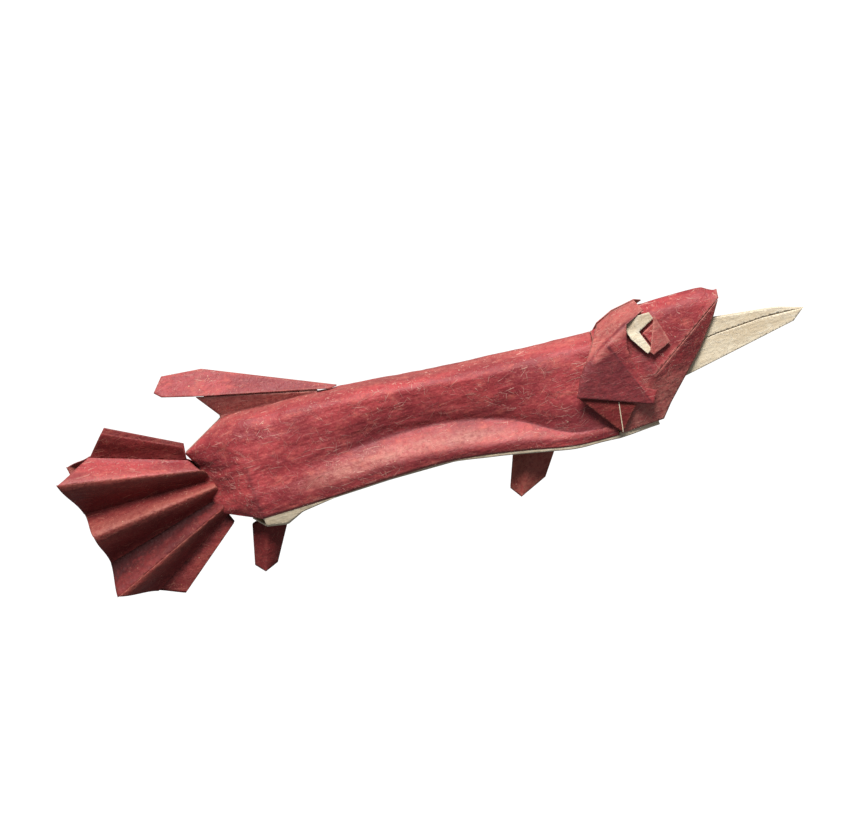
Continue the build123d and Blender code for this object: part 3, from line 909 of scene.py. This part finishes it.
def panel_shade(top, panel):
    """Painted light on the top facet, painted shade on the panel: by which of the two a place is nearer; past the
    crease to the pleat, a painted dark line and a little painted shade.
    """
    def plane(points):
        middle = sum(points, Vector()) / len(points)
        return middle, max((((p - middle).cross(q - middle)) for p in points for q in points),
                key=lambda n: n.length).normalized()
    (top_at, top_up), (panel_at, panel_up) = plane(top), plane(panel)
    foot = max(panel, key=lambda p: p.x)
    head = max(panel, key=lambda p: p.z)

    def shade(place):
        lean = abs((Vector(place) - panel_at).dot(panel_up)) - abs((Vector(place) - top_at).dot(top_up))
        share = float(smooth_step(lean, -0.5 * MM, 0.5 * MM))
        down = (head.z - place[2]) / (head.z - foot.z)
        off = place[0] - (head.x + (foot.x - head.x) * down)
        if down > 0 and off > -0.6 * MM:
            return 0.0, 1.1 * math.exp(-((off / (0.45 * MM)) ** 2)) + 0.3 * float(smooth_step(off, 0, 2 * MM))
        return 0.35 * share, 0.85 * (1 - share)
    return shade


for side, sign in SIDES.items():
    toward = (0, sign, 0)
    top_and_panel = joined([outer_face(f"{side}_collar_{part}", toward) for part in ("top", "panel", "pleat")],
            1.2 * MM)
    upper_edge = sorted(top_and_panel[0], key=lambda p: abs(p.y))[:3]
    for point in upper_edge:
        point.y *= CLOSED_OVER
    # The top facet gets painted light and the panel painted shade; the collar's inner side is the darker red with
    # painted shade.
    panel_painted_shade = panel_shade(outer_face(f"{side}_collar_top", toward)[0],
            outer_face(f"{side}_collar_panel", toward)[0])
    paper_piece(f"{side}_collar_paper", top_and_panel, f"{side}_collar",
            [f"{side}_collar_{part}" for part in ("top", "panel", "pleat")],
                inside=shaded_red_paper, shade=panel_painted_shade, rounding=3, swell=0.22 * MM,
                grain=(5 * MM, 5 * MM, 4 * MM), wear=0.0, painted_shade_depth=0.3, edge_wear=0.15, seed=6.0 + sign)
    # The tucked-under triangle is the darker red with painted shade, and is darkened a little more all over.
    paper_piece(f"{side}_collar_under_paper", outer_face(f"{side}_collar_under", toward), f"{side}_collar",
            [f"{side}_collar_under"],
                inside=cream_paper, finish=shaded_red_paper, rounding=1, swell=0.08 * MM, wear=1.0, painted_shade_depth=0.0,
                edge_wear=0.25, seed=8.0 + sign,
                shade=lambda place: (0.0, 0.25))
    points, triangles = outer_face(f"{side}_collar_under", toward)
    a, b = (points[i] + Vector((0, sign * 0.12 * MM, 0)) for i in set(triangles[0]) & set(triangles[1]))
    strip = [a, b, b + Vector((0.24 * MM, 0, 0)), a + Vector((0.24 * MM, 0, 0))]
    paper_piece(f"{side}_under_edge_paper", (strip, [(0, 1, 2), (0, 2, 3)]), f"{side}_collar", [],
            finish=cream_paper,
                longest=0.6 * MM, thickness=0.1 * MM, rounding=0, swell=0.0, edge_wear=0.0, seed=8.5 + sign)
    # The eye's upper arm is darkened with painted shade.
    paper_piece(f"{side}_eye_rim_paper", moved_back(outer_face(f"{side}_eye_rim", toward)), "body",
            [f"{side}_eye_rim"], finish=cream_paper,
                longest=0.6 * MM, rounding=2, swell=0.05 * MM, wear=0.3, painted_shade_depth=0.3, edge_wear=0.3, seed=9.0 + sign,
                shade=lambda place: (0.0, 0.32 * float(smooth_step(place[2], 34.5 * MM, 36.5 * MM))))
    paper_piece(f"{side}_iris_paper", moved_back(outer_face(f"{side}_iris", toward)), "body", [f"{side}_iris"],
                longest=0.6 * MM, rounding=2, swell=0.05 * MM, edge_wear=0.3, seed=9.5 + sign)
    # The lid is painted lighter all over.
    paper_piece(f"{side}_eyelid_paper", moved_back(outer_face(f"{side}_eyelid", toward)), f"{side}_eyelid",
            [f"{side}_eyelid"],
                inside=cream_paper, longest=0.6 * MM, rounding=2, swell=0.06 * MM, edge_wear=0.4, seed=10.0 + sign,
                bend=lambda place: np.array([place[0],
                place[1] + sign * 0.45 * MM * float(smooth_step(place[0], 60.5 * MM, 65 * MM)), place[2]]),
                shade=lambda place: (0.3, 0.0))

# %% [markdown]
# ## The beak
# A long kite whose two edges are folded in to meet along the middle.  The fold at each edge
# is thick and round, and the raw edges stand up a little along the dark seam.

# %% Fold the beak
BEAK_TIP = max((v.co for v in frame["nodes"]["beak_core"].data.vertices), key=lambda p: p.x).copy()


def leaf(node, sign):
    """A leaf's face, carried on to the very tip."""
    points, triangles = outer_face(node, (0, sign, 0))
    uses = {}
    for t in triangles:
        for k in range(3):
            uses.setdefault(frozenset((t[k], t[(k + 1) % 3])), []).append((t[k], t[(k + 1) % 3]))
    down = -1 if "lower" in node else 1
    seam = max(range(len(points)), key=lambda i: points[i].x)
    outer = max((i for edge in uses if seam in edge and len(uses[edge]) == 1 for i in edge - {seam}),
            key=lambda i: down * points[i].z)
    behind = max((i for edge in uses if outer in edge and len(uses[edge]) == 1 for i in edge - {outer, seam}),
            key=lambda i: -points[i].x)
    along = (points[outer] - points[behind]).normalized()
    shoulder = points[outer] + along * (8.0 * MM if down < 0 else 3.0 * MM)
    tip = Vector((BEAK_TIP.x - 0.2 * MM, points[seam].y * 0.75, BEAK_TIP.z))
    a, b = uses[frozenset((seam, outer))][0]
    n = len(points)
    corners = (n, n + 1) if a == seam else (n + 1, n)
    return [*points, tip, shoulder], [*triangles, (b, a, corners[0]), (b, corners[0], corners[1])]


for side, sign in SIDES.items():
    for part in ("upper", "lower"):
        node = f"{side}_beak_{part}"
        paper_piece(f"{node}_paper", leaf(node, sign), "beak", [node], finish=cream_paper,
                    longest=0.7 * MM, rounding=1, swell=0.09 * MM, grain=(9 * MM, 4 * MM, 3 * MM), wear=0.3,
                    painted_shade_depth=0.2, edge_wear=0.2, seed=11.0 + sign)
plain("beak_core", cream_paper)

# %% [markdown]
# ## The fin on the back and the four feet
# The fin is a roof of two slopes over an upright wall on each side.  A foot is half of a
# narrow hollow diamond, creased down its middle.

# %% Fold the fin and the feet
FOOT_SEATS = 1.6 * MM         # the rear feet run on up through the tab, so none hangs free
WALL_SINKS = 1.6 * MM         # the wall's foot runs on down behind the top of the back

for side, sign in SIDES.items():
    toward = (0, sign, 0)
    paper_piece(f"{side}_back_fin_roof_paper", outer_face(f"{side}_back_fin_roof", toward), "back_fin",
            [f"{side}_back_fin_roof"],
                rounding=2, swell=0.18 * MM, grain=(8 * MM, 4 * MM, 4 * MM), wear=0.15, painted_shade_depth=0.3, edge_wear=0.25,
                seed=12.0 + sign)
    points, triangles = outer_face(f"{side}_back_fin_wall", toward)
    eave = max(range(3), key=lambda i: points[i].z)
    order = triangles[0][triangles[0].index(eave):] + triangles[0][:triangles[0].index(eave)]
    a, b = order[1], order[2]
    points += [points[a] - Vector((0, 0, WALL_SINKS)), points[b] - Vector((0, 0, WALL_SINKS))]
    triangles = [*triangles, (b, a, 3), (b, 3, 4)]
    # The wall, which the roof shades, is painted lighter all over.
    paper_piece(f"{side}_back_fin_wall_paper", (points, triangles), "back_fin", [f"{side}_back_fin_wall"],
                rounding=2, swell=0.12 * MM, grain=(8 * MM, 4 * MM, 3 * MM), edge_wear=0.3, seed=13.0 + sign,
                shade=lambda place: (0.5, 0.0))
    for pair in ("front", "rear"):
        points, triangles = outer_face(f"{side}_{pair}_foot", toward)
        if pair == "rear":
            half_way = (max(p.z for p in points) + min(p.z for p in points)) / 2
            points = [p + Vector((0, 0, FOOT_SEATS)) if p.z > half_way else p for p in points]
        # The feet are the darker red with painted shade; the rear pair is darkened more with painted shade and the
        # front pair painted lighter.
        paper_piece(f"{side}_{pair}_foot_paper", (points, triangles), f"{pair}_feet", [f"{side}_{pair}_foot"],
                    finish=shaded_red_paper, longest=0.7 * MM, rounding=10, swell=0.14 * MM, wear=0.05,
                    edge_wear=0.15, seed=14.0 + sign,
                    shade=lambda place: (0.0, 0.5) if place[0] < 0 else (0.45, 0.0))

# %% [markdown]
# ## The fan of the tail
# Eight pleats a side turn about their creases.  On the real sheet a pleat and the next are
# one surface, so their edges are moved onto the hinge lines of the frame: they meet
# exactly there, and go on meeting when the fan opens or closes.

# %% Fold the fan
HINGES = {
    side: [(Vector(j["pos_m"]), Vector(j["axis"]).normalized()) for j in frame["joints"] if j["child"].startswith(f"{side}_pleat")]
    for side in SIDES
}
TUCK = 2.0 * MM               # how far each root runs on towards the apex, under its neighbours
DRAWN_IN = {1: 0.42, 8: 0.3}  # the free edges at the top and bottom of the fan lie nearly closed


def fan_apex(side):
    """Where the creases of that side would meet."""
    (a, along_a), (b, along_b) = HINGES[side][0], HINGES[side][-1]
    crossing = intersect_line_line(a, a + along_a, b, b + along_b)
    return (crossing[0] + crossing[1]) / 2


def pleat_sheet(side, sign, number):
    """A pleat's face, its long edges on the hinge lines and its root tucked in towards the apex."""
    points, triangles = outer_face(f"{side}_pleat_{number}", (0, sign, 0))
    points = snapped(points, HINGES[side], 1.2 * MM)
    apex = fan_apex(side)
    near = sorted(range(4), key=lambda i: (points[i] - apex).length)[:2]
    if number in DRAWN_IN:
        lines = HINGES[side]
        for i, point in enumerate(points):
            off = min((intersect_point_line(point, p, p + d)[0] - point).length for p, d in lines)
            if off > 0.1 * MM:
                point.y *= DRAWN_IN[number]
    for i in near:
        points[i] = points[i] + (apex - points[i]).normalized() * TUCK
    return points, triangles


# Painted shade and light on each pleat: how dark it is near its valley, how dark all over, and how pale near its
# ridge, which is partly wear and partly painted light.
VALLEY_PAINTED_SHADE = {1: 0.45, 2: 0.25, 3: 0.45, 4: 0.25, 5: 0.4, 6: 1.1, 7: 0.3, 8: 0.8}   # how dark each is near its valley
PAINTED_SHADE_ALL_OVER = {1: 0.1, 6: 0.5, 8: 0.15}                                                    # and all over
RIDGE_WEAR_AND_PAINTED_LIGHT = {2: 0.2, 3: 0.3, 4: 0.5, 5: 0.3, 7: 0.35,
        8: 0.1}                               # and how pale near its ridge


def soft_pleat(sheet, sign, number):
    """bend and shade of a pleat: from valley to ridge it follows an S, so neighbours meet smoothly; its painted
    shade fades from the valley, and it grows paler towards the ridge with wear and painted light.
    """
    points = sheet[0]
    apex = fan_apex("right" if sign < 0 else "left")

    def out(p):
        return sign * (p[1] - apex.y) / math.hypot(p[0] - apex.x, p[2] - apex.z)
    far = sorted(points, key=lambda p: -(p - apex).length)[:2]
    low, high = sorted(out(p) for p in far)

    def share(p):
        return min(1.0, max(0.0, (out(p) - low) / max(high - low, 1e-6)))

    def bend(p):
        t = share(p)
        s = 0.15 * t + 0.85 * (1 - math.cos(math.pi * t)) / 2
        reach = math.hypot(p[0] - apex.x, p[2] - apex.z)
        return np.array([p[0], p[1] + sign * reach * (high - low) * (s - t), p[2]])

    def shade(p):
        t = share(p)
        return RIDGE_WEAR_AND_PAINTED_LIGHT.get(number, 0.0) * t ** 1.5, VALLEY_PAINTED_SHADE[number] * (1 - t) ** 1.2 + PAINTED_SHADE_ALL_OVER.get(number, 0.0)
    return bend, shade


for side, sign in SIDES.items():
    for number in range(1, 9):
        node = f"{side}_pleat_{number}"
        sheet = pleat_sheet(side, sign, number)
        bend, shade = soft_pleat(sheet, sign, number)
        # The second pleat, which faces the light, is the plain red; the other pleats and all inner sides are the
        # darker red with painted shade.
        paper_piece(f"{node}_paper", sheet, node, [node], finish=red_paper if number == 2 else shaded_red_paper,
                    inside=shaded_red_paper, thickness=0.22 * MM, rounding=0, swell=0.26 * MM,
                    grain=(9 * MM, 4 * MM, 4 * MM),
                    edge_wear=0.08, seed=20.0 + number, bend=bend, shade=shade)
plain("tail_stem", red_paper)
